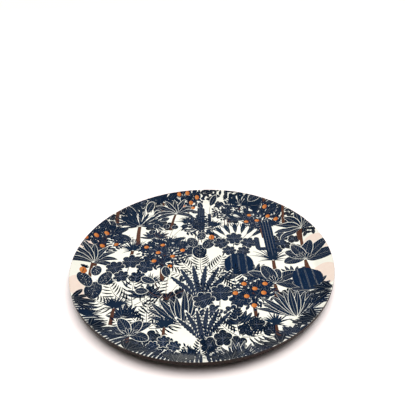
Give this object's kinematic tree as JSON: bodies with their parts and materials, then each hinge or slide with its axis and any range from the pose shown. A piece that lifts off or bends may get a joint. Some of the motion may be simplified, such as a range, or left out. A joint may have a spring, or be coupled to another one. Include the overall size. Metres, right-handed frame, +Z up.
{
  "type": "round serving tray",
  "caption": "Round laminated wood serving tray with a low flared rim, a glossy patterned face and a sealed dark edge, for carrying drinks and food.",
  "frame": {"origin": "centre of the underside, on the surface the tray stands on", "axes": "+Z up through the tray's axis; -Y is the side nearest the viewer, where the print's foreground is"},
  "size_m": [0.3799, 0.38, 0.02],
  "materials": {
    "clear_overlay": "clear gloss melamine",
    "print": "cream paper printed in navy, orange and brown, resin-soaked",
    "birch": "rotary-cut birch veneer",
    "birch_cross": "rotary-cut birch veneer, grain across",
    "glue": "cured resin film",
    "backing": "dark brown satin melamine paper",
    "edge": "dark brown sealing lacquer"
  },
  "bodies": {
    "root": {"wear_overlay": "clear_overlay", "printed_paper": "print", "face_veneer_upper": "birch", "glue_film_1": "glue", "cross_veneer_upper": "birch_cross", "glue_film_2": "glue", "core_veneer": "birch", "glue_film_3": "glue", "cross_veneer_lower": "birch_cross", "glue_film_4": "glue", "face_veneer_lower": "birch", "backing_sheet": "backing", "edge_seal": "edge"}
  },
  "joints": []
}
